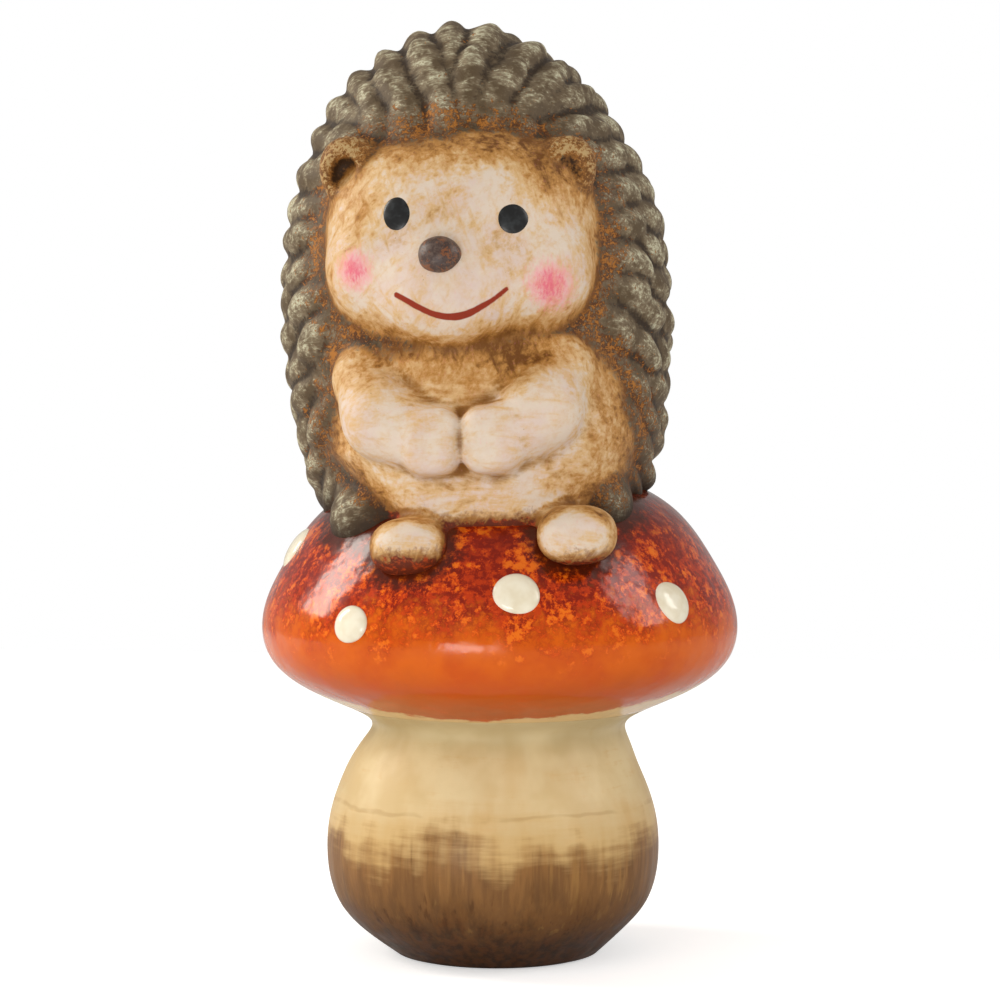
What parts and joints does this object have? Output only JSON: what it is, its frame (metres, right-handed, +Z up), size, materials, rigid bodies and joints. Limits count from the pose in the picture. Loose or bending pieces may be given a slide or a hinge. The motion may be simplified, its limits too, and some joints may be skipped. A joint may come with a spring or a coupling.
{
  "type": "hedgehog figurine",
  "caption": "Hollow ceramic ornament of a smiling hedgehog with folded hands, sitting on a spotted toadstool that stands on its flat foot.",
  "frame": {"origin": "centre of the base, at the middle of the toadstool's flat foot", "axes": "+Z is up along the toadstool's axis, and the hedgehog looks along -Y, so its own left side is at +X"},
  "size_m": [0.0906, 0.0906, 0.1774],
  "materials": {
    "stalk_paint": "satin cream slip, brushed brown towards the foot",
    "cap_glaze": "glossy orange glaze sponged dark red over the top",
    "spot_glaze": "glossy cream glaze",
    "coat_paint": "matte taupe brown with grey-green dry-brushed ridges",
    "skin_paint": "matte pinkish cream with tan antiquing in the creases",
    "ear_paint": "matte brown with a paler brushed rim",
    "eye_gloss": "glossy black",
    "nose_paint": "semi-gloss dark brown"
  },
  "bodies": {
    "root": {"arm_left": "skin_paint", "arm_right": "skin_paint", "belly": "skin_paint", "cap_spots": "spot_glaze", "ear_left": "ear_paint", "ear_right": "ear_paint", "eye_left": "eye_gloss", "eye_right": "eye_gloss", "foot_left": "skin_paint", "foot_right": "skin_paint", "hand_left": "skin_paint", "hand_right": "skin_paint", "head": "skin_paint", "mushroom_cap": "cap_glaze", "mushroom_stalk": "stalk_paint", "nose": "nose_paint", "quill_coat": "coat_paint", "quill_row_1": "coat_paint", "quill_row_10": "coat_paint", "quill_row_11": "coat_paint", "quill_row_2": "coat_paint", "quill_row_3": "coat_paint", "quill_row_4": "coat_paint", "quill_row_5": "coat_paint", "quill_row_6": "coat_paint", "quill_row_7": "coat_paint", "quill_row_8": "coat_paint", "quill_row_9": "coat_paint"}
  },
  "joints": []
}
